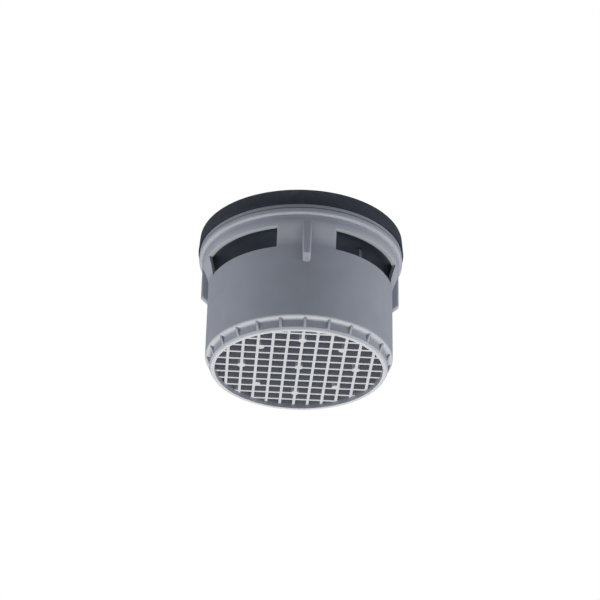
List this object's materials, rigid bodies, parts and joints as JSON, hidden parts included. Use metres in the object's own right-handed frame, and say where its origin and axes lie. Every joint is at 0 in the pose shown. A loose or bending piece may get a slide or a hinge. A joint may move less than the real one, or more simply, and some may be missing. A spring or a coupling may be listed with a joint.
{
  "type": "tap aerator",
  "caption": "Round tap aerator cartridge: ribbed sleeve with a square outlet lattice, side air windows, guide lugs, a flange, a slotted strainer and a rubber washer on top.",
  "frame": {"origin": "on the axis of the cartridge, at the flat ring round the outlet that it stands on", "axes": "+Z along the axis, from the outlet up to the washer; the guide lugs lie on the X and Y axes"},
  "size_m": [0.022, 0.022, 0.0155],
  "materials": {
    "housing": "satin moulded grey",
    "jet_plate": "satin moulded black",
    "cap_ring": "satin moulded grey",
    "washer": "smooth black rubber",
    "strainer": "satin moulded grey",
    "grids": "satin moulded grey"
  },
  "bodies": {
    "root": {"housing": "housing", "jet_plate": "jet_plate", "cap_ring": "cap_ring", "washer": "washer", "strainer": "strainer", "lower_grid": "grids", "upper_grid": "grids"}
  },
  "joints": []
}
